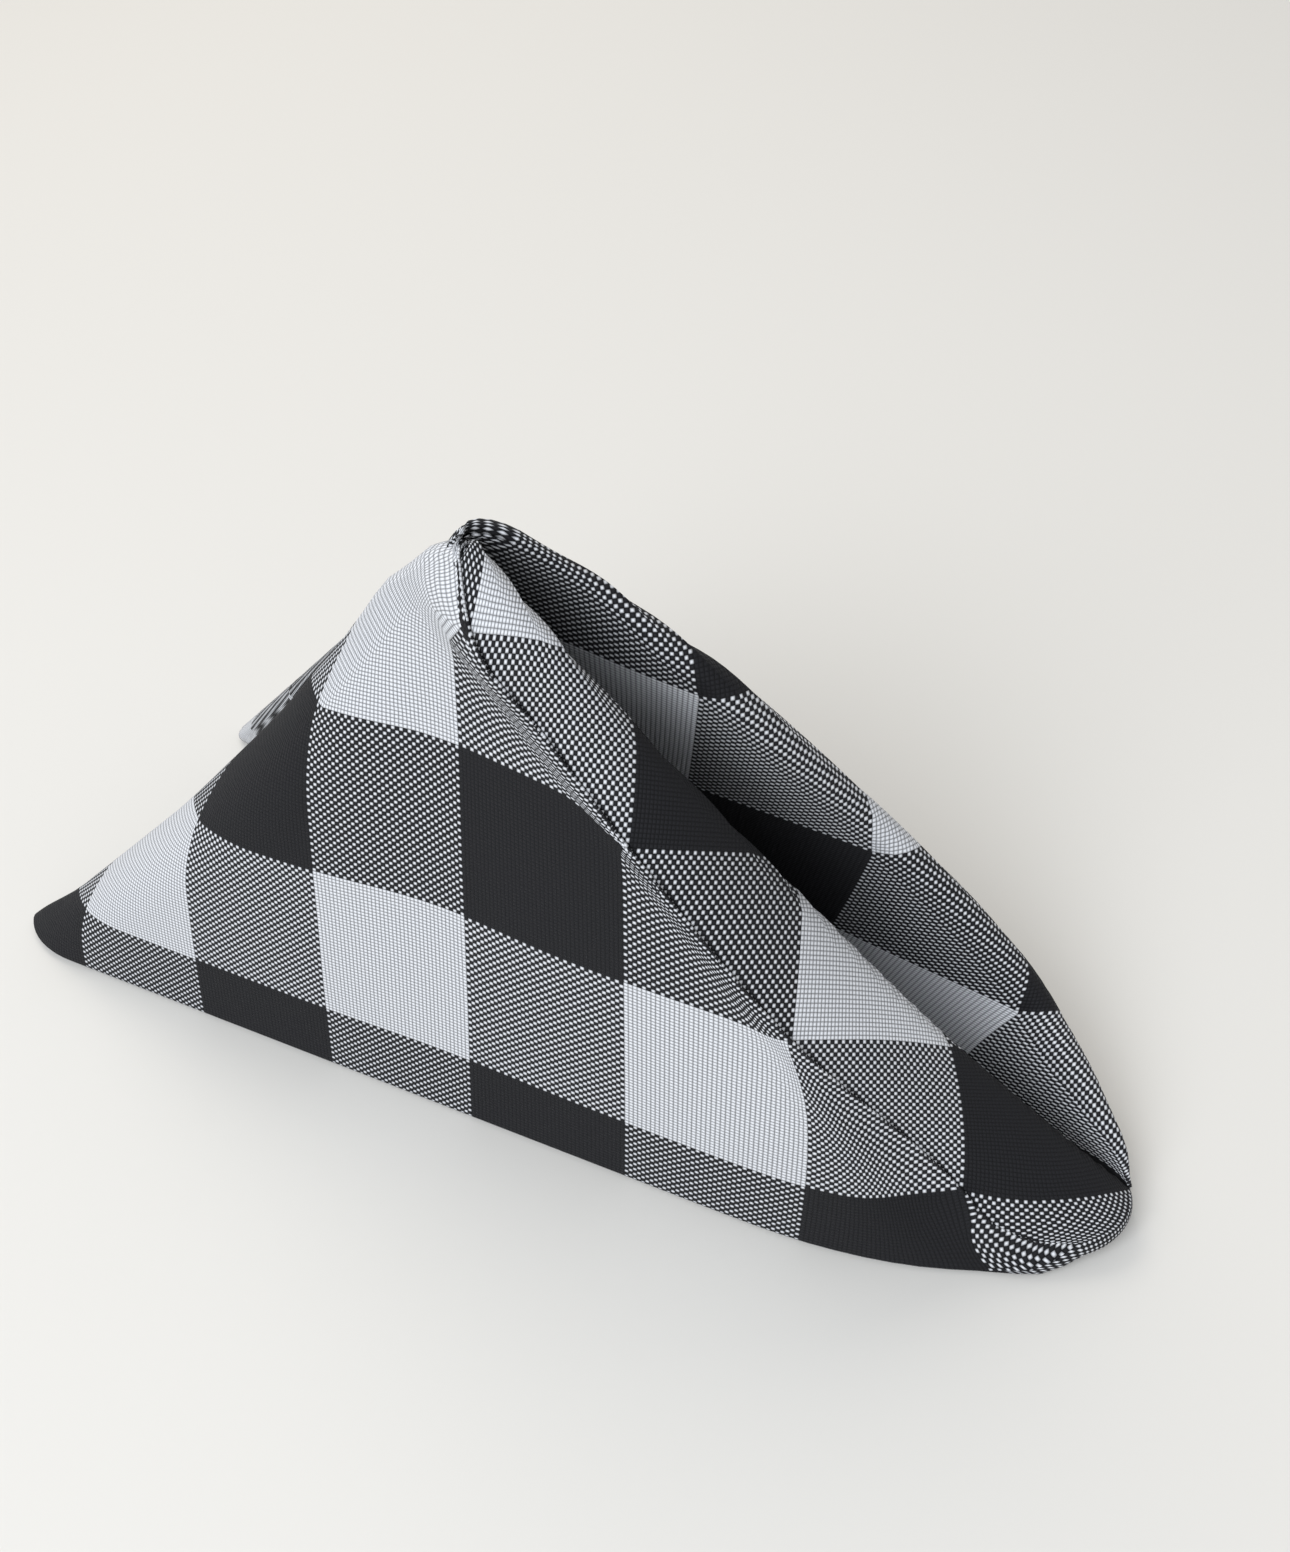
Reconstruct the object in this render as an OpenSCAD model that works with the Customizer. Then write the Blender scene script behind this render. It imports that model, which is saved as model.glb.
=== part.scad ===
// Folded cloth napkin standing as a pyramid fold.
// A square of cloth is folded along its diagonal, both side corners are folded
// down to the tip, the back half is tucked under and the whole is stood up.
// Places on the folded cloth are counted in checks from the toe: x along the
// right foot edge and y along the left one, and c = x + y is the station.
// The shape is drawn from the toe, with the left foot edge along Y.

/* [Cloth] */
// Side of the square cloth before it is folded
side = 508; // [400:2:600]
// Checks along one side of the cloth
checks = 15; // [15]
// Thickness of one layer as it lies loosely in the fold
layer = 0.8; // [0.6:0.05:0.9]

/* [Left wall] */
// Inward lean of the wall at the toe, as a slope
lean = 0.095; // [0.06:0.005:0.13]
// Growth of the lean with each station towards the tips
lean_grow = 0.02; // [0.015:0.001:0.025]
// Inward depth of the soft hollow down the middle of the wall
wall_dip = 4; // [0:0.5:5]

/* [Right wall] */
// Angle in plan between the right foot edge and the left one
spread = 11.7; // [10:0.1:13]
// Outward bulge of the free flap halfway up
flap_bulge = 3; // [0:0.5:4]
// Width of the pocket at its bottom
pocket_w = 4; // [3:0.5:5]

/* [Tongue] */
// Crown of the tongue above a straight line across it
tongue_crown = 1.5; // [0.5:0.1:2]

/* [Back edge] */
// Radius to which the left wall's back edge curls inwards at the ridge
curl_ridge = 6; // [4:0.5:8]
// Radius to which it curls along the middle
curl_wall = 19; // [16:0.5:20]
// Radius to which it curls at the tip
curl_tip = 13; // [10:0.5:14]
// Radius to which the right wall's back edge curls at its tip
curl_right = 8; // [6:0.5:10]
// Radius of the roll along the flap's rim
rim_roll = 2.6; // [2:0.1:3]

/* [Hidden] */
size_ratio = side / 508;
check = side / checks;
half = checks / 2;
step_out = check / sqrt(2);
wall_layers = 8;
base_layers = 6;
flap_layers = 2;
wall_t = wall_layers * layer;
base_t = base_layers * layer;
flap_t = flap_layers * layer;
roll_w = wall_t / 2;
curl_turn = 62;
fold_slack = 2.6;
rim_rise = 3;

// Outward directions of the left wall, the tongue and the right wall
out_left = [-0.97, 0, 0.24];
out_tongue = [-0.05, -0.75, 0.66];
out_right = [0.95, -0.2, 0.22];

// Rails that carry the shape, as points at stations from the toe to the apex
toe = [18, 4, 3];
foot_at = [0, 0.5, 1, 1.5, 2.5, 7.5];
foot_rail = [toe, [8.5, 16, 3], [3, 33, 3], [1, 50, 3], [0, 85, 3], [0, 248, 3]];
crease_at = [0, 1, 3, 5, 6, 7, 7.5];
crease_rail = [toe, [13, 25.5, 16.5], [8.5, 54.5, 50.5], [14, 84, 80], [18, 99, 95.5], [20.5, 111, 112.5], [25, 115.5, 123]];
drop_wide = [[0, 0.6], [1, 0.8], [2, 0.5], [3, 0.25], [5, 0.2], [6, 0.3], [7, 0.5], [7.5, 0.8]];
ridge_at = [0, 1, 2, 4, 6.3, 7.5];
ridge_rail = [toe, [25, 6, 19], [30, 33.5, 34], [32.5, 65.5, 62], [26, 95.5, 107.5], [30.5, 115.5, 122.5]];
rim_at = [0, 0.85, 2.5, 4.3, 6, 6.5, 7.1, 7.5];
rim_rail = [toe, [22, -0.5, 11.5], [50.5, 26.5, 25.5], [51.5, 60, 56], [39, 87.5, 98], [38, 99, 108.5], [37.5, 112.5, 119], [34.5, 117.5, 121]];
right_toe = [31, 3];

function unit_of(v) = v / norm(v);
function mix(a, b, t) = a * (1 - t) + b * t;
function ease(t) = let (s = min(1, max(0, t))) s * s * (3 - 2 * s);

// Smooth curve through the points P at the stations C
function rail_slope(C, P, i) =
    i == 0 ? (P[1] - P[0]) / (C[1] - C[0]) :
    i == len(C) - 1 ? (P[i] - P[i - 1]) / (C[i] - C[i - 1]) :
    let (before = C[i] - C[i - 1], after = C[i + 1] - C[i])
    ((P[i] - P[i - 1]) * after / before + (P[i + 1] - P[i]) * before / after) / (before + after);
function rail_span(C, c, i = 0) = i >= len(C) - 2 || c < C[i + 1] ? i : rail_span(C, c, i + 1);
function rail(C, P, c) =
    let (i = rail_span(C, c), h = C[i + 1] - C[i], t = (c - C[i]) / h)
    let (m0 = rail_slope(C, P, i) * h, m1 = rail_slope(C, P, i + 1) * h)
    P[i] * (2 * t ^ 3 - 3 * t ^ 2 + 1) + m0 * (t ^ 3 - 2 * t ^ 2 + t)
    + P[i + 1] * (3 * t ^ 2 - 2 * t ^ 3) + m1 * (t ^ 3 - t ^ 2);

// Foot edge, crease, ridge of the tongue, bottom of the pocket and flap rim
function foot(c) = rail(foot_at, foot_rail, c);
function crease(c) = rail(crease_at, crease_rail, c);
function ridge(c) = rail(ridge_at, ridge_rail, c);
function rim(c) = rail(rim_at, rim_rail, c);
function right_line(c) =
    let (along = c * check / size_ratio - 10)
    mix(mix(toe, [29, 4, 0], min(1, c)),
        [right_toe[0] + along * sin(spread), right_toe[1] + along * cos(spread), 0], ease(c / 2));
function pocket(c) =
    mix(mix(ridge(c), rim(c), 0.5) - [0.2, 0, 0.2], right_line(c) + [0, -4.5, 4.5], ease((c - 0.3) / 1.7));

// Left wall at place x, y: it stands on the foot edge and leans inwards
function wall(x, y) =
    let (base = foot(y), rise = x * check / size_ratio)
    let (dip = wall_dip * exp(-((y - 3.7) / 0.65) ^ 2) * min(1, x / half * 3))
    [base[0] + (lean + lean_grow * (x + y)) * rise + dip, base[1], base[2] - 2 + rise];

// Outer skin from the foot edge (s = 1) to the crease (s = 0)
function left_skin(c, s) =
    let (d = s * c, on = crease(c) - wall(c / 2, c / 2))
    wall((c - d) / 2, (c + d) / 2) + on * exp(-(d / lookup(c, drop_wide)) ^ 2);

// Tongue from the crease (s = 0) to its ridge (s = 1)
function tongue(c, s) =
    mix(crease(c), ridge(c), s) + out_tongue * tongue_crown * 4 * s * (1 - s) * ease(c) * (1 - 0.6 * ease((c - 5) / 2));

// The back edge curls inwards: the radius on each wall, and what happens to a
// station and its depth under that radius
function left_curl(s) = lookup(s, [[0, curl_ridge], [0.2, curl_wall], [0.6, curl_wall], [1, curl_tip]]);
function left_push(s) = lookup(s, [[0, 0.15], [0.15, 0.5], [0.35, 1]]);
function right_curl(s) = mix(1, curl_right, s);
function curl_from(c, r) =
    let (gap = (half - c) * step_out)
    gap + fold_slack + (r * PI / 2 - r * curl_turn * PI / 180 - fold_slack) * exp(-gap / 40);
function curl_angle(c, r) = min(curl_turn, max(0, 90 - curl_from(c, r) / r * 180 / PI));
function curl_station(c, r) =
    let (a = curl_angle(c, r), flat = a == 0 ? curl_from(c, r) : r * (PI / 2 - sin(a)))
    min(half, half + (fold_slack - flat) / step_out);
function curl_depth(c, r) = r * (1 - cos(curl_angle(c, r)));

// How full the toe is, how open the hollow is, and how the back edge closes
function swell(c) = 0.25 + 0.75 * ease(c / 1.2);
function hollow(c) = ease((c - 0.9) / 1.1);
function closing(c) =
    let (left = (half - c) * step_out, r = wall_t / 2)
    left >= r ? 1 : max(0.5, sqrt(max(0, 1 - (1 - left / r) ^ 2)));

// One point of the skin, or of the cloth at a depth under it, with the curl
function sunk(c, s, r, p, out, deep, push = 1) =
    let (g = closing(c))
    p - unit_of(out) * (push * curl_depth(c, r) + wall_t / 2 * min(1, 0.1 + 4 * s) * (1 - g) + deep * g);

// Left wall from foot to crease, then the tongue up to its ridge
function skin_left(c, s, deep = 0) =
    let (r = left_curl(s))
    sunk(c, s, r, left_skin(curl_station(c, r), s), out_left, deep, left_push(s));
function skin_tongue(c, s) = sunk(c, 0, 1, tongue(c, s), mix(mix(out_left, out_tongue, 0.6), out_right, s * 0.5), 0);

// Down from the ridge into the pocket, up the flap, and back down outside it
function pocket_gap(c) = mix(0.1, pocket_w / 2, ease((c - 0.5) / 1.5));
function flap_side(c) = flap_t * min(1, 0.2 + c / 2);
function bulge(c, s) = flap_bulge * 4 * s * (1 - s) * ease(c / 3);
function right_at(c, s) = mix(ridge(c), pocket(c) - out_right * pocket_gap(c), s);
function flap_at(c, s) = mix(pocket(c) + out_right * pocket_gap(c), rim(c), s ^ 1.2) + out_right * bulge(c, s);
function roll_size(c) = 0.1 + 0.9 * ease(c / 1.6);
function roll_up(c) = unit_of(rim(c) - pocket(c)) * rim_rise * roll_size(c);
function roll_out(c) = unit_of(out_right) * rim_roll * roll_size(c);
function back_at(c, s) =
    let (low = right_line(c) + [pocket_gap(c) + 1.5 * flap_side(c), 0, 0], high = rim(c) + roll_up(c) + 2 * roll_out(c))
    mix(low, high, s) + out_right * bulge(c, s);
function skin_right(c, s, deep = 0) =
    let (r = right_curl(s))
    sunk(c, s, r, right_at(curl_station(c, r), s), out_right, deep);
function skin_flap(c, s) =
    let (r = right_curl(1 - s))
    sunk(c, 1 - s, r, flap_at(curl_station(c, r), s), out_right, 0);
function skin_back(c, s) =
    let (r = right_curl(1 - s))
    sunk(c, 1 - s, r, back_at(curl_station(c, r), s), out_right, 0);
function rim_points(c) =
    let (p = skin_flap(c, 1) + roll_up(c), o = roll_out(c), u = roll_up(c) * rim_roll / rim_rise)
    [p + o * 0.3 + u * 0.7, p + o + u, p + o * 1.7 + u * 0.7];

// Feet: two rolls under the left wall and one under the right, flat below
roll_shape = [[1, 0.9], [0.85, 0.4], [0.65, 0], [0.35, 0], [0.15, 0.4], [0, 0.9]];
function at_height(p, z) = [p[0], p[1] + p[2] - z, z];
function left_foot(c) =
    let (r = left_curl(1), f = foot(curl_station(c, r)), g = closing(c), w = roll_w * swell(c) * g)
    let (x = f[0] + curl_depth(c, r) + wall_t / 2 * (1 - g))
    [for (n = [1, 0]) for (q = roll_shape) if (n == 0 || q[0] > 0)
        at_height([x + w * (n + q[0]), f[1], 1], w / 2 * q[1] * max(0, 2 * g - 1))];
function right_foot(c) =
    let (a = skin_back(c, 0), b = inner_right(c, 1), h = 1.5 * swell(c) * closing(c))
    let (back = at_height(a, 0), other = left_foot(c)[0])
    let (front = mix(mix(back, other, 0.1), at_height(b, 0), hollow(c)))
    [at_height(back, h), mix(back, front, 0.15), mix(back, front, 0.85)];

// The hollow under the tent, from the right wall over the top to the left one
function inner_right(c, s) = skin_right(c, s, base_t);
function inner_left(c, s) = skin_left(c, s, wall_t);
function inner_start(c) =
    [for (s = [0.05:0.02:0.6]) if ((inner_right(c, s) - inner_left(c, s))[0] > 2 || s > 0.57) s][0];
function inner_top(c) =
    let (s = inner_start(c))
    mix(inner_left(c, s), inner_right(c, s), 0.5) + [0, -0.5, 0.5] * closing(c);
function inner_points(c) =
    let (open = hollow(c), a = right_foot(c)[2], b = left_foot(c)[0], s = inner_start(c))
    concat(
        [for (k = [1, 0.7, 0.4, 0.15, 0]) mix(mix(a, b, 0.1 + (1 - k) * 0.35), inner_right(c, mix(s, 0.97, k)), open)],
        [mix(mix(a, b, 0.5), inner_top(c), open)],
        [for (k = [0, 0.15, 0.4, 0.7, 1]) mix(mix(a, b, 0.55 + k * 0.35), inner_left(c, mix(s, 0.97, k)), open)]
    );

// One closed section: outside first from foot to foot, then the hollow
wall_s = [0.96, 0.85, 0.7, 0.55, 0.42, 0.3, 0.2];
edge_d = [0.3, 0.2, 0.13, 0.07, 0];
cross_s = [0.25, 0.5, 0.75, 1];
function section(c) = concat(
    left_foot(c),
    [for (s = wall_s) skin_left(c, mix(edge_d[0] / max(c, 1), 1, (s - 0.12) / 0.88))],
    [for (d = edge_d) skin_left(c, d / max(c, 1))],
    [for (s = cross_s) skin_tongue(c, s)],
    [for (s = cross_s) skin_right(c, s)],
    [for (s = [0, each cross_s]) skin_flap(c, s)],
    rim_points(c),
    [for (s = [1, 0.75, 0.5, 0.25]) skin_back(c, s)],
    right_foot(c),
    inner_points(c)
);

stations = concat([for (i = [2:10]) i * 0.15], [for (i = [1:30]) 1.5 + i * 0.18], [for (i = [1:10]) 6.9 + i * 0.06]);

module cloth() {
    rings = [for (c = stations) section(c) * size_ratio];
    n = len(rings[0]);
    m = len(rings);
    points = concat([for (r = rings) for (p = r) p], [toe * size_ratio]);
    sides = [for (j = [0:m - 2]) for (i = [0:n - 1]) each [
        [j * n + i, (j + 1) * n + i, j * n + (i + 1) % n],
        [j * n + (i + 1) % n, (j + 1) * n + i, (j + 1) * n + (i + 1) % n]
    ]];
    front = [for (i = [0:n - 1]) [n * m, i, (i + 1) % n]];
    polyhedron(points, concat(sides, front, end_faces((m - 1) * n)));
}

// The back edge is closed by strips over the foot, the tent and the flap
wall_point = 10;
crease_point = 22;
pocket_point = 30;
rim_point = 37;
foot_point = 46;
top_point = 51;
last_point = 56;
function strip(A, B) =
    let (steps = max(len(A), len(B)) - 1)
    let (ia = [for (k = [0:steps]) round(k * (len(A) - 1) / steps)], ib = [for (k = [0:steps]) round(k * (len(B) - 1) / steps)])
    [for (k = [0:steps - 1]) each concat(
        ia[k + 1] > ia[k] ? [[A[ia[k]], B[ib[k]], A[ia[k + 1]]]] : [],
        ib[k + 1] > ib[k] && A[ia[k + 1]] != B[ib[k + 1]] ? [[B[ib[k]], B[ib[k + 1]], A[ia[k + 1]]]] : []
    )];
function run(first, a, b) = [for (i = [a:b > a ? 1 : -1:b]) first + i];
function end_faces(first) = concat(
    strip(run(first, 0, wall_point), [first + last_point]),
    strip(run(first, wall_point, crease_point), run(first, last_point, top_point)),
    strip(run(first, crease_point, pocket_point), run(first, top_point, foot_point)),
    strip(run(first, pocket_point, rim_point), run(first, foot_point, rim_point))
);

module napkin() {
    color([0.45, 0.46, 0.49])
    translate([-40.86, -118.42, 0])
    cloth();
}

napkin();
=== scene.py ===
import math

import bmesh
import bpy
import numpy as np
from mathutils import Matrix


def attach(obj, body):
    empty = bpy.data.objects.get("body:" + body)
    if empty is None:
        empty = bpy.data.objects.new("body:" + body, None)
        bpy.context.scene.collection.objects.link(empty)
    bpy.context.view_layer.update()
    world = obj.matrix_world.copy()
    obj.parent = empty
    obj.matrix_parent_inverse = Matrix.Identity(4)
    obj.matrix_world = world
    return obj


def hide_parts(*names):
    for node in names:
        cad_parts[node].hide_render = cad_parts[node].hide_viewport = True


# Cloth: side, checks along it, one layer as it lies in the fold, and one thickness
SIDE = 508.0
CHECKS = 15
HALF = CHECKS / 2
CHECK = SIDE / CHECKS
STEP = CHECK / math.sqrt(2)
LAYER = 0.8
THICK = 0.45

# Layers on a side, those in the flap, the middle of all, and the middle of those rolled at the foot
LAYERS = 8
FLAP_LAYERS = 2
MIDDLE = (LAYERS - 1) / 2
FOOT_MIDDLE = (LAYERS / 2 - 1) / 2

# The part's origin among the points, and the lowest height of the cloth's middle
ORIGIN = np.array([40.86, 118.42, 0.0])
TABLE = 0.28

QUARTER = math.pi / 2
TINY = 1e-6
WELD = 0.00002

# Grid sizes: rows, rows round the back edge, columns, and rows of the hood
ROWS = 64
WRAPS = 4
COLUMNS = 36
FLAP_COLUMNS = 44
CLOSE_ROWS = 6
FOOT_COLUMNS = 5
NOSE_COLUMNS = 9
ROW_POWER = 1.35
LEFT_POWER = 1.7
RIGHT_POWER = 1.3
FLAP_COLUMN_POWER = 1.2

# Rails that carry the shape, as points at stations from the toe to the apex
CREASE_AT = [0, 0.34, 0.62, 1, 3, 5, 6, 7, 7.5]
CREASE = [(16.6, 5.7, 6), (13.3, 12.8, 7.5), (11.6, 18.9, 10.5), (12.8, 25.7, 16.3), (8.3, 54.6, 50.4),
          (14.3, 84.3, 79.5), (18, 99, 95.6), (20.2, 110.9, 112.7), (28, 115.8, 122.2)]
RIDGE_AT = [0, 1, 2, 4, 6.3, 7.4]
RIDGE = [(30.4, 0.4, 6.5), (29.8, 16.9, 20.5), (30.3, 33.6, 33.9), (32.5, 65.5, 62.2),
         (24.9, 95.2, 108.2), (30, 112.8, 122.4)]
RIDGE_FROM_CREASE = [1, 1, 1.11, 0.77, 0.65, 0.37]
RIM_AT = [0, 0.5, 0.95, 1.42, 2.08, 2.83, 4.09, 5.26, 6.13, 6.77, 7.4]
RIM = [(30.4, 0.4, 6.5), (33.9, 4.1, 10.8), (38.3, 11.9, 14.5), (42.9, 20, 18.6), (49, 28.9, 25),
       (51.9, 40, 34.4), (50.9, 60.2, 55.7), (43.3, 75.3, 79.5), (39.1, 88, 97.1), (39.2, 100.2, 108.4),
       (35.8, 111.6, 118.6)]

# Foot edge of the left wall: points round the toe, then a straight line
FOOT_AT = [0, 0.25, 0.5, 1, 1.5, 2.5]
FOOT = [(16.6, 5.7, 4.5), (11.4, 10.6, 1), (9, 16.8, 0), (3.6, 32.5, 0), (1, 49, 0), (0, 82.5, 0)]
FOOT_START = -1.3
FOOT_STEP = 34.55
FOOT_STRAIGHT = 1
FOOT_BLEND = 1.5

# Left wall: its lean, its bow low in the middle, and its lift off the table
LEAN = 0.093
LEAN_UP = 0.04
LEAN_OUT = -0.02
BOW = 4.1
BOW_AT = 3.73
BOW_WIDE = 0.64
BOW_FULL = 2.5
LIFT = 1.5
ROLL_LOSS = 0.55
ROLL_LOSS_OVER = 12

# Curl of the left wall's back edge, by the share of the way from the crease to the foot
IN_LEFT = np.array([0.96, 0.0, -0.25])
CURL_SHARE = [0, 0.08, 0.2, 0.4, 0.6, 0.8, 1]
CURL_RADIUS = [6, 16, 18.4, 19.4, 19, 15.8, 13]
CURL_TURN = 1.08
CURL_END = 0.49
END_GAP = 5.6
PUSH_SHARE = [0, 0.15, 0.35]
PUSH = [0.15, 0.5, 1]
PUSH_DOWN_OVER = 0.5
SLIDE_OVER = 0.8
FOLD_SLACK = 2.6
SLACK_OVER = 40

# Crease: how widely the wall is drawn to it, and the dip of the outer layer along it
DROP_AT = [0, 1, 2, 3, 5, 6, 7, 7.6]
DROP_WIDE = [0.6, 0.8, 0.5, 0.25, 0.2, 0.3, 0.4, 0.5]
DIP_WIDE = 0.2
DIP_DEEP = 1.6
DIP_FULL = 1.5

# Peak of the left wall under the apex: its shift, its place across the wall, and where it starts
PEAK = np.array([1.5, 0.55, 1.66])
PEAK_SHARE = 0.032
PEAK_WIDE = 0.025
PEAK_FROM = 6.6
PEAK_OVER = 0.7

# Layers: closer together at the toe, bent at the foot and the back, and gathered at the crease
SWELL_TOE = 0.25
SWELL_OVER = 1.2
FOOT_BEND_MOST = 0.125
BACK_BEND_RISE = 8
GATHER = np.array([0.05, 0.75, -0.66])
GATHER_STEP = 1.2
GATHER_OVER = 1.2
GATHER_WIDE = 0.13
GATHER_GROW = 0.03

# Slide of the outer layer over the crease, at the toe and under the apex
TOE_LINE = 0.5
TOE_SLIDE = 0.11
APEX_SLIDE_FROM = 6.95

# Tongue: its bulges, the rounding of its ridge, and the width of its seam with the left wall
NOSE_HUMP = np.array([-0.4, -3.2, 0.4])
TONGUE_HUMP = np.array([-0.5, -0.8, 1.3])
HUMP_OVER = 1.3
ROUND_WIDE = 0.12
ROUND_LEAST = 0.2
ROUND_OVER = 2
ROUND_SAMPLES = 9
SEAM_WIDE = 0.2

# Pocket between the tongue and the flap
POCKET_START = np.array([31.0, 3.0, 2.0])
POCKET_WAY = np.array([0.203, 0.979, 0.0])
POCKET_BEHIND = 14
POCKET_TOE_WAY = np.array([6.0, 22.0, -2.5])
POCKET_TOE_OVER = 2
POCKET_DEEP = 0.18
POCKET_DEEP_OVER = 2
POCKET_OPEN = 0.32
POCKET_OPEN_OVER = 0.8

# Flap: the place of its rim on the cloth, its bulges, and the rim's roll
RIM_START = 0.5
RIM_STEP = 0.516
FLAP_POWER = 1.24
TOE_POWER = 2.2
TOE_POWER_OVER = 1.2
FLAP_BULGE = 2.1
FLAP_BULGE_OUT = 3.1
BULGE_OVER = 4
BULGE_END_OVER = 2.5
IN_RIGHT = np.array([0.9, -0.1, -0.3])
OUT_RIGHT = np.array([0.9, -0.2, 0.22])
ROLL_RISE = 3.0
ROLL_RADIUS = 2.6
ROLL_LEAST = 0.3
ROLL_OVER = 1.6
APEX_THIN = 0.7
THIN_FROM = 5.4
THIN_OVER = 1.8
FLAP_FOOT_OUT = 1.2
FLAP_FOOT_HIGH = 1.0
OUTSIDE_X = 0.6
OUTSIDE_X_OVER = 0.8
OUTSIDE_Y = 0.34
OUTSIDE_Y_OVER = 0.4
FRAME_FROM = 0.25
FRAME_STEP = 0.1

# Hood over the apex, where the flap's back edge closes to the inner layers
CLOSE_BULGE = 1.2
HOOD_ARCH = np.array([0.0, 0.0, -0.6])
HOOD_SHARE = 0.15
HOOD_PLACE = np.array([0.15, -0.15])

# Nose: points on the table from the left foot round the toe
NOSE_FROM = 0.9
NOSE_AT = [0, 0.3, 0.55, 0.75, 0.9, 1]
NOSE = [(7, 30, 0.4), (13, 14, 0.4), (17.5, 7, 0.4), (21.5, 3.5, 0.4), (26.5, 2.5, 0.4), (30, 3, 1)]
NOSE_BULGE = 1.6
NOSE_BULGE_OVER = 0.4
NOSE_LAP = 0.16

# Weave: threads to a check, the colours of the threads, and the near-black colour of the painted shade
# at the threads' rounded edges and in the gaps between them
THREADS_P = 39
THREADS_Q = 47
WHITE_THREAD = (0.76, 0.77, 0.795, 1)
BLACK_THREAD = (0.012, 0.012, 0.014, 1)
GAP_SHADE = (0.002, 0.002, 0.003, 1)
# Painted shade: the least share of a thread's colour at its edges, and the extra painted shade on the
# threads in the grey checks
EDGE_SHADE = 0.12
SUNK_SHADE = 0.6
BUMP_STRENGTH = 0.8
BUMP_HEIGHT = 0.00025
ROUGHNESS = 0.75
SHEEN = 0.02
SHEEN_ROUGHNESS = 0.5
SPECULAR = 0.2

# Stage
FLOOR_SIZE = 6
FLOOR_ROUGHNESS = 0.9
FLOOR_COLOUR = (0.68, 0.66, 0.62, 1)
SKY_COLOUR = (0.95, 0.97, 1, 1)
SKY_STRENGTH = 0.62
LIT_POINT = (0, 0, 0.04)

# Camera: the photograph's focal length and height in pixels, and the camera's axes and place
FOCAL = 1500
PHOTO_HEIGHT = 1552
SENSOR = 36
CAMERA_RIGHT = (0.4456, -0.8891, -0.1051)
CAMERA_UP = (0.6475, 0.2390, 0.7236)
CAMERA_BACK = (-0.6183, -0.3904, 0.6821)
CAMERA_PLACE = np.array((-126.6, -9.9, 252.3))


def ease(t):
    s = np.clip(t, 0, 1)
    return s * s * (3 - 2 * s)


def unit(v):
    return v / np.maximum(np.linalg.norm(v, axis=-1, keepdims=True), 1e-9)


def mix(a, b, t):
    t = np.asarray(t, float)
    if t.ndim and t.ndim < np.ndim(a):
        t = t[..., None]
    return a * (1 - t) + b * t


# From 0 at both ends of a share to 1 in its middle
def arch(t):
    return 4 * t * (1 - t)


# Smooth curve through points given at stations
def rail(at, points, c):
    at = np.asarray(at, float)
    points = np.asarray(points, float)
    c = np.asarray(c, float)
    gaps = np.diff(at)
    steps = np.diff(points, axis=0) / gaps[:, None]
    before = gaps[:-1, None]
    after = gaps[1:, None]
    inner = (steps[:-1] * after + steps[1:] * before) / (before + after)
    slopes = np.vstack([steps[:1], inner, steps[-1:]])
    i = np.clip(np.searchsorted(at, c, side="right") - 1, 0, len(at) - 2)
    h = gaps[i]
    t = ((c - at[i]) / h)[..., None]
    h = h[..., None]
    return ((2 * t**3 - 3 * t**2 + 1) * points[i] + (t**3 - 2 * t**2 + t) * h * slopes[i]
            + (3 * t**2 - 2 * t**3) * points[i + 1] + (t**3 - t**2) * h * slopes[i + 1])


def crease(c):
    return rail(CREASE_AT, CREASE, c)


def ridge(c):
    return rail(RIDGE_AT, RIDGE, c)


def rim(c):
    return rail(RIM_AT, RIM, c)


def foot(y):
    near = rail(FOOT_AT, FOOT, np.clip(y, 0, FOOT_AT[-1]))
    far = np.stack([0 * y, FOOT_START + FOOT_STEP * y, 0 * y], -1)
    return mix(near, far, ease((y - FOOT_STRAIGHT) / FOOT_BLEND))


# Cloth that turns up at the bottom of the pocket, on each side
def pocket_slack(c):
    deep = POCKET_DEEP * np.clip((HALF - c) / POCKET_DEEP_OVER, 0, 1)
    return deep + POCKET_OPEN * np.exp(-c / POCKET_OPEN_OVER)


# Bottom of the pocket, where the tongue's cloth turns up into the flap
def pocket(c):
    along = (c + POCKET_DEEP) * CHECK - POCKET_BEHIND
    line = POCKET_START + POCKET_WAY * along[..., None]
    near = np.array(RIDGE[0]) + POCKET_TOE_WAY * c[..., None]
    return mix(near, line, ease(c / POCKET_TOE_OVER))


# Place of the flap's rim along the diagonal of the cloth
def rim_place(c):
    return RIM_START + RIM_STEP * c


# Left wall at a place on the folded cloth, before its back edge curls
def wall(x, y):
    base = foot(np.maximum(y, 0))
    rise = x * CHECK
    lean = LEAN + LEAN_UP * y + LEAN_OUT * (y - x)
    bow = BOW * np.exp(-((y - BOW_AT) / BOW_WIDE) ** 2) * np.clip(x / BOW_FULL, 0, 1)
    low = LIFT + rise - ROLL_LOSS * (1 - np.exp(-rise / ROLL_LOSS_OVER))
    return np.stack([base[..., 0] + lean * rise + bow, base[..., 1], base[..., 2] + low], -1)


def curl_radius(s):
    return np.interp(s, CURL_SHARE, CURL_RADIUS)


def curl_end(s):
    return np.maximum(CURL_END * curl_radius(s), END_GAP)


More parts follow.
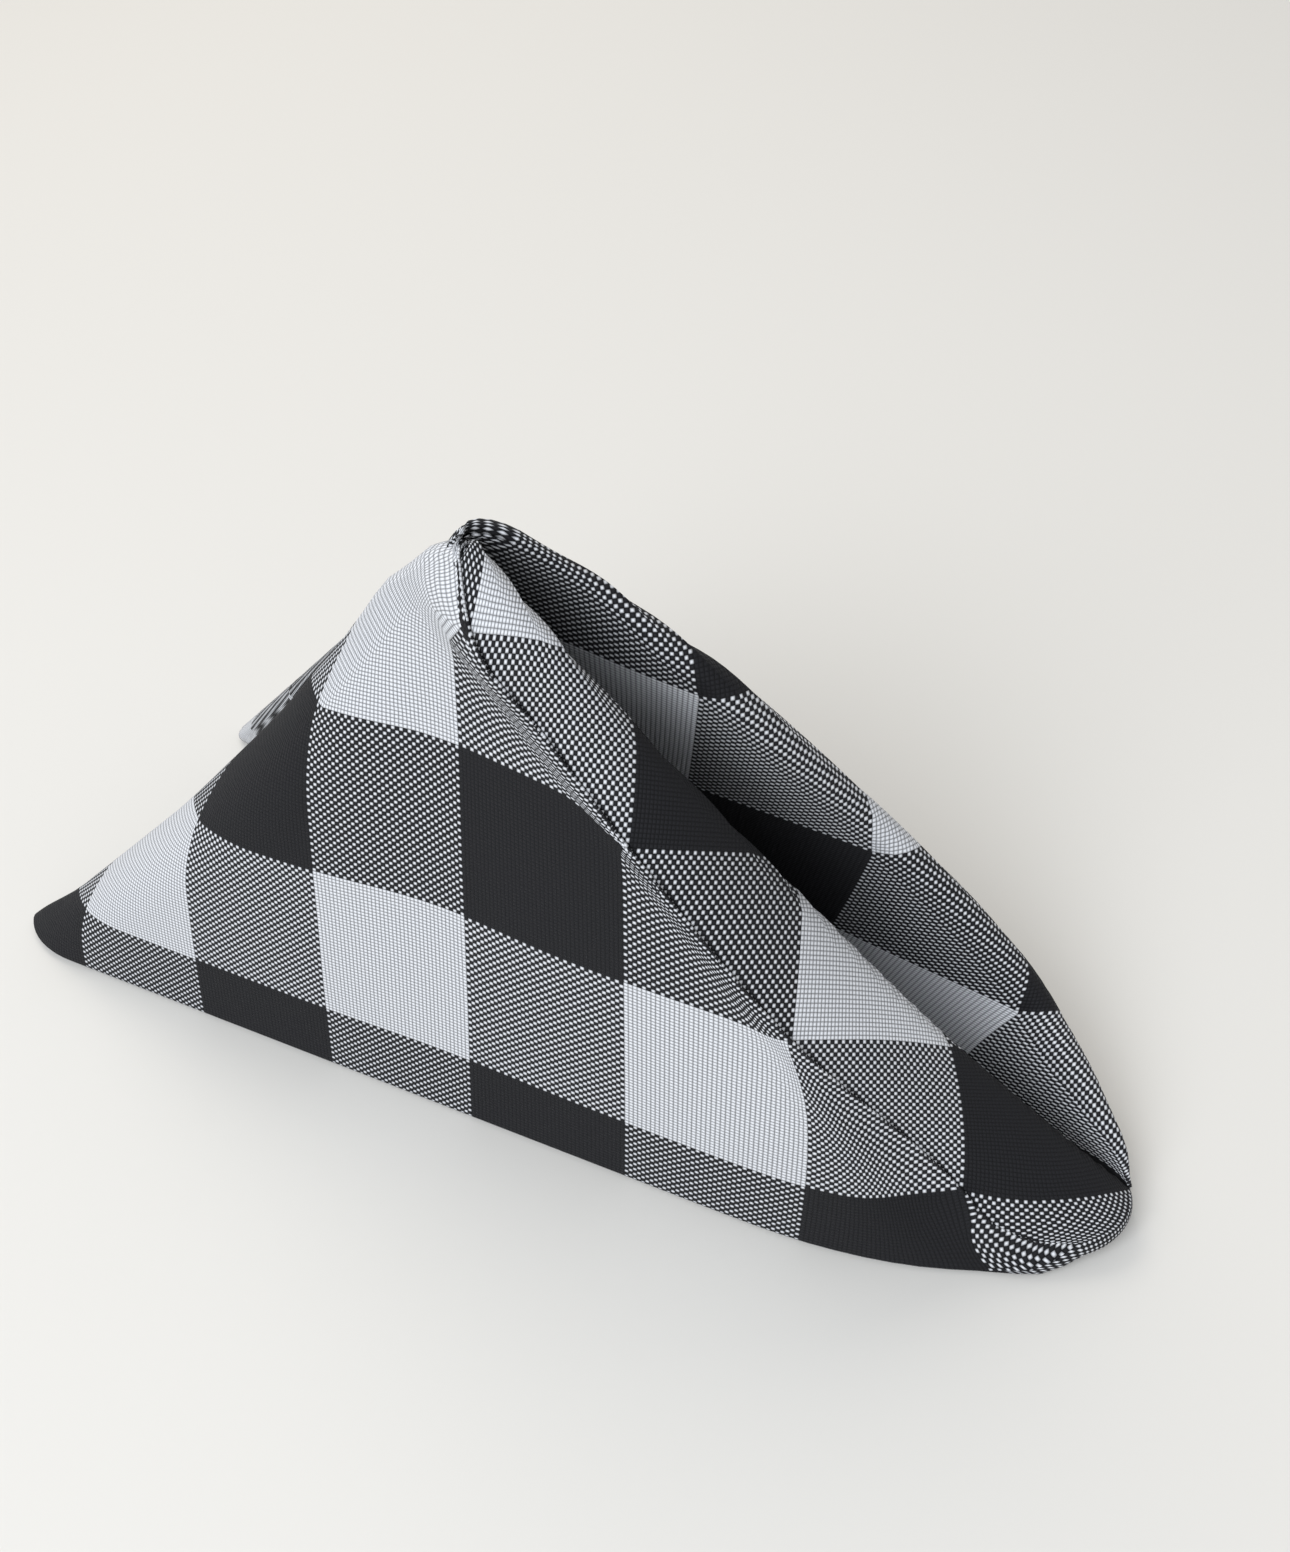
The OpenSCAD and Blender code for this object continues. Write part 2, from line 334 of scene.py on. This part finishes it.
# Left wall with its curl: e is the distance to the fold, s the share towards the foot
def curled(e, s):
    r = curl_radius(s)
    arc = r * QUARTER
    turn = np.clip((arc - e) / r, 0, CURL_TURN)
    flat = np.where(e < arc, arc - r * np.sin(turn), e)
    c = HALF + (FOLD_SLACK - e) / STEP
    shift = (e - flat) / STEP / 2
    d = s * c
    x = (c - d) / 2
    y = (c + d) / 2
    slide = ease(x / SLIDE_OVER)
    inward = r * (1 - np.cos(turn)) * np.interp(s, PUSH_SHARE, PUSH)
    sink = IN_LEFT[2] * inward * ease(x / PUSH_DOWN_OVER)
    push = np.stack([IN_LEFT[0] * inward, 0 * inward, sink], -1)
    return wall(x + shift * slide, y + shift * (2 - slide)) + push


# Layers are numbered from the outside in, and level() counts them from the nearer face
def level(k):
    return min(k, LAYERS - 1 - k)


# Radius at which a level turns round the back edge
def back_radius(deep):
    return (MIDDLE - deep) * LAYER


# Distance along the cloth that matches a distance e in the shape, at a level
def cloth_distance(e, s, deep):
    bend = QUARTER * back_radius(deep)
    far = e - curl_end(s)
    return bend + far + (curl_end(s) - bend - FOLD_SLACK) * (1 - np.exp(-far / SLACK_OVER))


# The layers lie closer together towards the toe
def swell(c):
    return SWELL_TOE + (1 - SWELL_TOE) * ease(c / SWELL_OVER)


# Shares of the rows from the toe to the fold, and of the columns from the crease to the foot
def row_shares():
    t = np.linspace(0, 1, ROWS)[:, None]
    return 1 - (1 - t) ** ROW_POWER


def column_shares(n, power):
    t = np.linspace(0, 1, n)
    a = t ** power
    b = (1 - t) ** power
    return a / (a + b)


# Normals of a grid, turned so that the middle one points the given way along X
def grid_normals(P, way):
    normals = unit(np.cross(np.gradient(P, axis=0), np.gradient(P, axis=1)))
    middle = normals[ROWS // 2, COLUMNS // 2, 0]
    return normals if middle * way > 0 else -normals


# Direction in which a grid leaves its last row, square to the normals there
def back_direction(P, normal):
    tangent = unit(P[-1] - P[-2])
    return unit(tangent - normal * (tangent * normal).sum(-1, keepdims=True))


# How far the outer layer slides over the crease, at the toe and under the apex
def over_crease(c):
    toe = np.minimum(np.clip(TOE_LINE - c / 2, 0, 1), TOE_SLIDE * c)
    return toe + np.clip((c - APEX_SLIDE_FROM) / 2, 0, 1)


# Place on the flat cloth at each level, from the place on the folded one
def flat_left(deep, x, y):
    return np.stack({0: (-y, x), 1: (-x, y), 2: (x, y), 3: (-y, -x)}[deep], -1)


def flat_right(deep, x, y):
    return np.stack({0: (y, -x), 1: (x, -y), 2: (x, y), 3: (-y, -x)}[deep], -1)


# Place on the folded cloth for the pulled-out flap's inner part
def pulled_place(x, y):
    c = x + y
    t = np.clip((x - y) / np.maximum(c, TINY), 0, 1)
    edge = mix(HALF, rim_place(HALF), c / HALF)
    return edge * (1 - t) + HALF * t, edge * (1 - t) + (HALF - c) * t


# One facet: points in space and their places on the flat cloth
class Facet:
    def __init__(self, points, places):
        self.points = points
        self.places = places

    def add_rows(self, points, places):
        self.points = np.concatenate([self.points, points])
        self.places = np.concatenate([self.places, places])


# Quarter turn of layer k round the back edge, added to its points and its folded places
def wrapped(P, x, y, k, normal, back, seam=None):
    radius = back_radius(level(k))
    side = -1 if k < MIDDLE else 1
    centre = P[-1] - side * normal * radius
    c = x[-1] + y[-1]
    share = x[-1] / np.maximum(c, TINY)
    for i in range(1, WRAPS + 1):
        phi = QUARTER * i / WRAPS
        ring = centre + side * normal * radius * math.cos(phi) + back * radius * math.sin(phi)
        if seam is not None:
            ring[0] = seam[ROWS - 1 + i]
        c_now = c + (HALF - c) * i / WRAPS
        P = np.concatenate([P, ring[None]])
        x = np.concatenate([x, (c_now * share)[None]])
        y = np.concatenate([y, (c_now * (1 - share))[None]])
    return P, x, y


# Left wall's grid: drawn to the crease, with the peak under the apex
def make_left():
    s = np.broadcast_to(column_shares(COLUMNS, LEFT_POWER)[None, :], (ROWS, COLUMNS))
    c_end = HALF + (FOLD_SLACK - curl_end(s)) / STEP
    c = row_shares() * c_end
    e = (HALF - c) * STEP + FOLD_SLACK
    base = curled(e, s)
    inward = grid_normals(base, 1)
    d = s * c
    line = crease(np.minimum(c[:, :1], HALF))
    short = DIP_DEEP * ease(c[:, :1] / DIP_FULL)[..., None] * IN_LEFT
    reach = np.interp(c, DROP_AT, DROP_WIDE)
    drawn = np.exp(-(d / reach) ** 2) * (1 - s**3)
    base = base + (line - base[:, :1] - short) * drawn[..., None]
    peak = np.exp(-((s - PEAK_SHARE) / PEAK_WIDE) ** 2) * ease((c - PEAK_FROM) / PEAK_OVER)
    base = base + peak[..., None] * PEAK
    dip = short * np.exp(-(d / DIP_WIDE) ** 2)[..., None]
    return dict(base=base, dip=dip, inward=inward, c=c, s=s, e=e, d=d, crease=line)


def left_points(L, k):
    if k == 0:
        return L["base"] + L["dip"]
    P = L["base"] + L["inward"] * (k * LAYER * swell(L["c"]))[..., None]
    into = unit(unit(IN_LEFT) + GATHER)
    gathered = ease(L["c"][:, :1] / GATHER_OVER)[..., None]
    target = L["crease"] + into * ((k - 1) * LAYER * GATHER_STEP) * gathered
    wide = GATHER_WIDE + GATHER_GROW * k
    return P + (target - P[:, :1]) * np.exp(-(L["d"] / wide) ** 2)[..., None]


def left_facet(L, k, normal, back):
    P = left_points(L, k)
    s = L["s"]
    c = np.clip(HALF - cloth_distance(L["e"], s, level(k)) / STEP, 0, HALF)
    x = c * (1 - s) / 2
    if k < MIDDLE:
        bend = QUARTER * abs(FOOT_MIDDLE - level(k)) * LAYER / CHECK
        x = x + np.minimum(bend, FOOT_BEND_MOST * c) * s
    P, x, y = wrapped(P, x, c - x, k, normal, back)
    if k == 0:
        share = np.vstack([s, np.repeat(s[-1:], WRAPS, 0)])
        slide = over_crease(x + y) * (1 - share)
        x, y = x - slide, y + slide
    if k > MIDDLE:
        x, y = HALF - y, HALF - x
    return Facet(P, flat_left(level(k), x, y))


def left_facets(L):
    normal = L["inward"][-1]
    back = back_direction(L["base"], normal)
    return [left_facet(L, k, normal, back) for k in range(LAYERS)]


# Foot roll: joins an outer layer to the one it folds to under the left wall
def foot_roll(outer, inner):
    end = outer.points[:, -1]
    middle = (end + inner.points[:, -1]) / 2
    arm = end - middle
    down = np.zeros_like(arm)
    down[:, 2] = -np.linalg.norm(arm, axis=-1)
    shares = np.linspace(0, 1, FOOT_COLUMNS)
    points = [middle + arm * math.cos(math.pi * t) + down * math.sin(math.pi * t) for t in shares]
    places = [mix(outer.places[:, -1], inner.places[:, -1], t) for t in shares]
    return Facet(np.stack(points, 1), np.stack(places, 1))


# Tongue at m checks from the crease: over the ridge and down to the pocket
def tongue_point(c, m):
    g = np.interp(c, RIDGE_AT, RIDGE_FROM_CREASE)
    total = c + 2 * pocket_slack(c)
    front_share = np.clip(m / np.maximum(g, TINY), 0, 1)[..., None]
    side_share = np.clip((m - g) / np.maximum(total - g, TINY), 0, 1)[..., None]
    tongue = ease(c / HUMP_OVER)[..., None]
    hump = arch(front_share) * (NOSE_HUMP * (1 - tongue) + TONGUE_HUMP * tongue)
    front = crease(c) * (1 - front_share) + ridge(c) * front_share + hump
    side = ridge(c) * (1 - side_share) + pocket(c) * side_share
    return np.where((m <= g)[..., None], front, side)


# Tongue's grid, with its ridge rounded by taking a mean across it
def make_right():
    share = np.broadcast_to(column_shares(COLUMNS, RIGHT_POWER)[None, :], (ROWS, COLUMNS))
    c_end = HALF + (FOLD_SLACK - curl_end(np.zeros(1))) / STEP
    c = np.minimum(row_shares() * c_end, HALF) + 0 * share
    total = c + 2 * pocket_slack(c)
    m = share * total
    wide = ROUND_WIDE * np.clip(c / ROUND_OVER, ROUND_LEAST, 1)
    near = np.minimum(1, np.minimum(m, total - m) / wide)
    offsets = np.linspace(-1, 1, ROUND_SAMPLES)
    weights = 1 - offsets**2
    P = sum(w * tongue_point(c, m + j * wide * near) for j, w in zip(offsets, weights)) / weights.sum()
    return dict(base=P, inward=grid_normals(P, -1), c=c, m=m, share=share)


# Layer k of the right side, where layers 0 and 1 are the flap and the last two fold into it
def right_facet(R, left, k, normal, back):
    c = R["c"]
    P = R["base"] + R["inward"] * (k - FLAP_LAYERS) * LAYER * swell(c)[..., None]
    seam = left[k].points[:, 0]
    P = P + (seam[:ROWS, None] - P[:, :1]) * np.exp(-(R["m"] / SEAM_WIDE) ** 2)[..., None]
    bend = QUARTER * back_radius(level(k)) * ease(1 + (c / HALF - 1) * BACK_BEND_RISE)
    c_place = HALF - np.maximum(bend, (HALF - c) * STEP) / STEP
    slack = pocket_slack(c) if k == FLAP_LAYERS else 0
    m = R["share"] * (c_place + 2 * slack)
    pulled = k >= LAYERS - FLAP_LAYERS
    edge = None if pulled else seam
    P, x, y = wrapped(P, (c_place + m) / 2, (c_place - m) / 2, k, normal, back, edge)
    if pulled:
        x, y = pulled_place(x, y)
    elif k > MIDDLE:
        x, y = HALF - y, HALF - x
    return Facet(P, flat_right(level(k), x, y))


def right_facets(R, left):
    normal = R["inward"][-1]
    back = back_direction(R["base"], normal)
    return {k: right_facet(R, left, k, normal, back) for k in range(FLAP_LAYERS, LAYERS)}


# Inside face of the flap, from the pocket to the rim
def flap_inside(c):
    t = np.linspace(0, 1, COLUMNS)[None, :] + 0 * c
    c = c + 0 * t
    fade = np.clip(c / BULGE_OVER, 0, 1) * np.clip((HALF - c) / BULGE_END_OVER, 0, 1)
    lift = arch(t) * FLAP_BULGE * fade
    g = t ** (FLAP_POWER + TOE_POWER * np.exp(-c / TOE_POWER_OVER))
    points = mix(pocket(c), rim(c), g) + lift[..., None] * IN_RIGHT
    slack = pocket_slack(c)
    edge = rim_place(c)
    x = (c + slack) * (1 - t) + edge * t
    y = -slack * (1 - t) + edge * t
    return Facet(points, flat_right(1, x, y))


# Directions up the flap and out of it, at each station
def flap_frame(c):
    c = np.maximum(c, FRAME_FROM)
    rail_up = unit(rim(c) - pocket(c))
    along = np.gradient(rim(c), axis=0)
    along[c <= FRAME_FROM] = rim(np.array(FRAME_FROM + FRAME_STEP)) - rim(np.array(FRAME_FROM))
    out = unit(np.cross(along, rail_up))
    return rail_up, out * np.where(out[:, :1] < 0, -1, 1)


# Outside of the flap: up past the rim, over its roll, and down to the table
def flap_outside(c):
    rail_up, out = flap_frame(c[:, 0])
    size = ease(c[:, 0] / ROLL_OVER) * (1 - APEX_THIN * ease((c[:, 0] - THIN_FROM) / THIN_OVER))
    rise = ROLL_RISE * size
    radius = ROLL_RADIUS * size + ROLL_LEAST
    start = rim(c[:, 0])
    end = pocket(c[:, 0]) + out * FLAP_FOOT_OUT
    end[:, 2] = FLAP_FOOT_HIGH
    over = start + rail_up * rise[:, None] + out * 2 * radius[:, None]
    down = np.linalg.norm(end - over, axis=-1)[:, None]
    a = rise[:, None]
    r = radius[:, None]
    b = a + math.pi * r
    f = column_shares(FLAP_COLUMNS, FLAP_COLUMN_POWER)[None, :]
    run = f * (b + down)
    phi = np.clip((run - a) / r, 0, math.pi)
    up = np.minimum(run, a) + r * np.sin(phi)
    aside = r * (1 - np.cos(phi))
    u = np.clip((run - b) / np.maximum(down, TINY), 0, 1)
    lift = arch(u) * FLAP_BULGE_OUT * np.clip(c / BULGE_OVER, 0, 1)
    points = (start[:, None] + rail_up[:, None] * up[..., None] + out[:, None] * aside[..., None]
              + (end - over)[:, None] * u[..., None] + lift[..., None] * OUT_RIGHT)
    edge = rim_place(c)
    x = edge * (1 - f) + (c + OUTSIDE_X * np.exp(-c / OUTSIDE_X_OVER)) * f
    y = edge * (1 - f) + OUTSIDE_Y * np.exp(-c / OUTSIDE_Y_OVER) * f
    return Facet(points, flat_right(0, x, y))


# A row's values at wanted shares of its length
def at_shares(row, shares, wanted):
    return np.stack([np.interp(wanted, shares, values) for values in row.T], -1)


# Hood: rows that close a flap's face from its end over to the end of an inner layer
def close_back(facet, layer, shares, wanted):
    last = facet.points[-1]
    places = facet.places[-1]
    near_rim = np.clip(1 - wanted / HOOD_SHARE, 0, 1)[:, None]
    target_places = mix(at_shares(layer.places[-1], shares, wanted), places + HOOD_PLACE, near_rim)
    back = unit(last - facet.points[-2])
    gap = at_shares(layer.points[-1], shares, wanted) - last
    along = (gap * back).sum(-1, keepdims=True) * back
    swelling = back * CLOSE_BULGE + near_rim * HOOD_ARCH
    rows = []
    spots = []
    for i in range(1, CLOSE_ROWS + 1):
        phi = QUARTER * i / CLOSE_ROWS
        turned = along * math.sin(phi) + (gap - along) * (1 - math.cos(phi))
        rows.append(last + turned + math.sin(2 * phi) * swelling)
        spots.append(mix(places, target_places, i / CLOSE_ROWS))
    facet.add_rows(np.stack(rows), np.stack(spots))


def make_flap(R, right):
    c = R["c"][:, :1]
    inner = flap_inside(c)
    outer = flap_outside(c)
    shares = R["share"][-1]
    close_back(inner, right[6], shares, 1 - np.linspace(0, 1, COLUMNS))
    close_back(outer, right[7], shares, column_shares(FLAP_COLUMNS, FLAP_COLUMN_POWER))
    return inner, outer


# Nose: from the foot of the wall over the toe to the ridge, and down to the table
def make_nose(L, R, outer):
    n = int(np.searchsorted(L["c"][:, -1], NOSE_FROM))
    upper = np.concatenate([L["base"][n:0:-1, -1], R["base"][0]])
    y = L["c"][n:0:-1, -1]
    m = R["m"][0]
    p = np.concatenate([-y, m / 2])
    q = np.concatenate([0 * y, -m / 2])
    steps = np.linalg.norm(np.diff(upper, axis=0), axis=-1)
    u = np.concatenate([[0], np.cumsum(steps)])
    u = u / u[-1]
    lower = rail(NOSE_AT, NOSE, u)
    lower[-1] = outer.points[0, -1]
    tangent = np.gradient(lower, axis=0)
    out = unit(np.stack([tangent[:, 1], -tangent[:, 0], 0 * u], -1))
    v = np.linspace(0, 1, NOSE_COLUMNS)[None, :, None]
    bulge = (NOSE_BULGE * ease(u / NOSE_BULGE_OVER))[:, None, None] * np.sin(math.pi * v)
    points = upper[:, None] * (1 - v) + lower[:, None] * v + out[:, None] * bulge
    lap = NOSE_LAP * v[..., 0]
    return Facet(points, np.stack([p[:, None] - lap, q[:, None] - lap], -1))


def build_facets():
    L = make_left()
    left = left_facets(L)
    R = make_right()
    right = right_facets(R, left)
    inner, outer = make_flap(R, right)
    rolls = [foot_roll(left[0], left[3]), foot_roll(left[1], left[2])]
    return left + rolls + [right[k] for k in sorted(right)] + [inner, outer, make_nose(L, R, outer)]


# All facets as one list of points, places and faces
def build_sheet():
    points = []
    places = []
    faces = []
    for facet in build_facets():
        rows, cols = facet.points.shape[:2]
        first = len(points)
        points.extend(facet.points.reshape(-1, 3).tolist())
        places.extend(facet.places.reshape(-1, 2).tolist())
        for j in range(rows - 1):
            for i in range(cols - 1):
                a = first + j * cols + i
                faces.append((a, a + 1, a + cols + 1, a + cols))
    return np.array(points), places, faces


def weld(mesh):
    bm = bmesh.new()
    bm.from_mesh(mesh)
    bmesh.ops.remove_doubles(bm, verts=bm.verts, dist=WELD)
    bmesh.ops.recalc_face_normals(bm, faces=bm.faces)
    bm.to_mesh(mesh)
    bm.free()


def make_cloth():
    points, places, faces = build_sheet()
    points[:, 2] = np.maximum(points[:, 2], TABLE)
    mesh = bpy.data.meshes.new("cloth")
    mesh.from_pydata(((points - ORIGIN) / 1000).tolist(), [], faces)
    layer = mesh.uv_layers.new(name="cloth")
    for loop in mesh.loops:
        layer.data[loop.index].uv = places[loop.vertex_index]
    weld(mesh)
    for face in mesh.polygons:
        face.use_smooth = True
    piece = bpy.data.objects.new("cloth", mesh)
    bpy.context.scene.collection.objects.link(piece)
    solid = piece.modifiers.new("thickness", "SOLIDIFY")
    solid.thickness = THICK / 1000
    solid.offset = 0
    bpy.context.view_layer.objects.active = piece
    bpy.ops.object.modifier_apply(modifier="thickness")
    return piece


# Helpers for building the weave's node tree
class Nodes:
    def __init__(self, tree):
        self.tree = tree

    def put(self, value, socket):
        if isinstance(value, (int, float, tuple)):
            socket.default_value = value
        else:
            self.tree.links.new(value, socket)

    def math(self, kind, a, b=0.0):
        node = self.tree.nodes.new("ShaderNodeMath")
        node.operation = kind
        self.put(a, node.inputs[0])
        self.put(b, node.inputs[1])
        return node.outputs[0]

    def plus(self, a, b):
        return self.math("ADD", a, b)

    def minus(self, a, b):
        return self.math("SUBTRACT", a, b)

    def times(self, a, b):
        return self.math("MULTIPLY", a, b)

    def modulo(self, a, b):
        return self.math("FLOORED_MODULO", a, b)

    def mix(self, t, a, b):
        node = self.tree.nodes.new("ShaderNodeMix")
        node.data_type = "RGBA"
        self.put(t, node.inputs[0])
        self.put(a, node.inputs[6])
        self.put(b, node.inputs[7])
        return node.outputs[2]


# Number of the check's band that a whole thread lies in, odd or even
def band(n, thread, threads):
    middle = n.math("DIVIDE", n.plus(thread, 0.5), threads)
    return n.modulo(n.math("ROUND", middle), 2)


# Height across a thread, from 0 at its edges to 1 in its middle
def thread_round(n, place, threads):
    across = n.minus(n.math("FRACT", n.times(place, threads)), 0.5)
    return n.minus(1, n.times(n.times(across, across), 4))


# Plain weave: the thread on top, its colour with painted shade at its rounded edges and in the gaps,
# and its rounded height
def weave(n, p, q):
    i = n.math("FLOOR", n.times(p, THREADS_P))
    j = n.math("FLOOR", n.times(q, THREADS_Q))
    column = band(n, i, THREADS_P)
    row = n.minus(1, band(n, j, THREADS_Q))
    over = n.modulo(n.plus(i, j), 2)
    dark = n.plus(n.times(column, n.minus(1, over)), n.times(row, over))
    height = n.math("SQRT", n.times(thread_round(n, p, THREADS_P), thread_round(n, q, THREADS_Q)))
    # Painted shade of the round thread: full colour in its middle, falling to a share of EDGE_SHADE at
    # its edges
    shade = n.plus(EDGE_SHADE, n.times(height, 1 - EDGE_SHADE))
    # In the grey checks, where threads of the two colours cross, the painted shade is deepened towards
    # the threads' edges; it stands partly for the dark threads hiding the white ones' edges and partly
    # for painted shade in the recesses
    mixed = n.math("ABSOLUTE", n.minus(column, row))
    deeper_shade = n.times(mixed, n.plus(SUNK_SHADE, n.times(row, SUNK_SHADE)))
    shade = n.math("MAXIMUM", 0, n.times(shade, n.minus(1, n.times(deeper_shade, n.minus(1, height)))))
    thread = n.mix(dark, WHITE_THREAD, BLACK_THREAD)
    # Painted shade: the thread colour is darkened towards a near-black colour where the shade share is
    # low
    return n.mix(shade, GAP_SHADE, thread), height


def cloth_material():
    material = bpy.data.materials.new("cloth")
    material.use_nodes = True
    tree = material.node_tree
    shader = tree.nodes["Principled BSDF"]
    place = tree.nodes.new("ShaderNodeUVMap")
    place.uv_map = "cloth"
    split = tree.nodes.new("ShaderNodeSeparateXYZ")
    tree.links.new(place.outputs[0], split.inputs[0])
    colour, height = weave(Nodes(tree), split.outputs[0], split.outputs[1])
    tree.links.new(colour, shader.inputs["Base Color"])
    bump = tree.nodes.new("ShaderNodeBump")
    bump.inputs["Strength"].default_value = BUMP_STRENGTH
    bump.inputs["Distance"].default_value = BUMP_HEIGHT
    tree.links.new(height, bump.inputs["Height"])
    tree.links.new(bump.outputs[0], shader.inputs["Normal"])
    shader.inputs["Roughness"].default_value = ROUGHNESS
    shader.inputs["Sheen Weight"].default_value = SHEEN
    shader.inputs["Sheen Roughness"].default_value = SHEEN_ROUGHNESS
    shader.inputs["Specular IOR Level"].default_value = SPECULAR
    return material


def make_floor():
    material = bpy.data.materials.new("floor")
    material.use_nodes = True
    shader = material.node_tree.nodes["Principled BSDF"]
    shader.inputs["Base Color"].default_value = FLOOR_COLOUR
    shader.inputs["Roughness"].default_value = FLOOR_ROUGHNESS
    bpy.ops.mesh.primitive_plane_add(size=FLOOR_SIZE, location=(0, 0, 0))
    floor = bpy.context.object
    floor.name = "floor"
    floor.data.materials.append(material)


# Matrix of an object from its axes and its place
def placed(right, up, back, place):
    rows = [(right[i], up[i], back[i], place[i]) for i in range(3)]
    return Matrix(rows + [(0, 0, 0, 1)])


# Square lamp that faces the part
def area_light(name, place, size, power, colour):
    data = bpy.data.lights.new(name, "AREA")
    data.size = size
    data.energy = power
    data.color = colour
    lamp = bpy.data.objects.new(name, data)
    bpy.context.scene.collection.objects.link(lamp)
    back = unit(np.array(place, float) - np.array(LIT_POINT, float))
    side = unit(np.cross((0, 0, 1), back))
    lamp.matrix_world = placed(side, np.cross(back, side), back, place)


def light_scene():
    world = bpy.data.worlds.new("studio")
    bpy.context.scene.world = world
    world.use_nodes = True
    sky = world.node_tree.nodes["Background"]
    sky.inputs[0].default_value = SKY_COLOUR
    sky.inputs[1].default_value = SKY_STRENGTH
    area_light("key", place=(-0.9, 0.1, 0.9), size=0.9, power=13, colour=(0.88, 0.93, 1))
    area_light("fill", place=(0.7, 0.8, 1.2), size=1.0, power=9, colour=(1, 0.95, 0.87))


def make_camera():
    data = bpy.data.cameras.new("photo_view")
    data.sensor_fit = "VERTICAL"
    data.sensor_height = SENSOR
    data.lens = SENSOR * FOCAL / PHOTO_HEIGHT
    camera = bpy.data.objects.new("photo_view", data)
    bpy.context.scene.collection.objects.link(camera)
    place = (CAMERA_PLACE - ORIGIN) / 1000
    camera.matrix_world = placed(CAMERA_RIGHT, CAMERA_UP, CAMERA_BACK, place)
    bpy.context.scene.camera = camera


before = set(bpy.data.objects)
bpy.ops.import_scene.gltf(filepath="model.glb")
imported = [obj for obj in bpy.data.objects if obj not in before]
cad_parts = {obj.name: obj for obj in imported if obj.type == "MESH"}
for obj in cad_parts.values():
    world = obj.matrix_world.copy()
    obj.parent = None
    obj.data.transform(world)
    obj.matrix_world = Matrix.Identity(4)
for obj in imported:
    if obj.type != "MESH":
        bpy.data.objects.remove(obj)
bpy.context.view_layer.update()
make_camera()
cloth = make_cloth()
cloth.data.materials.append(cloth_material())
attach(cloth, "root")
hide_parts("napkin")
make_floor()
light_scene()
bpy.context.scene.view_settings.view_transform = "Standard"
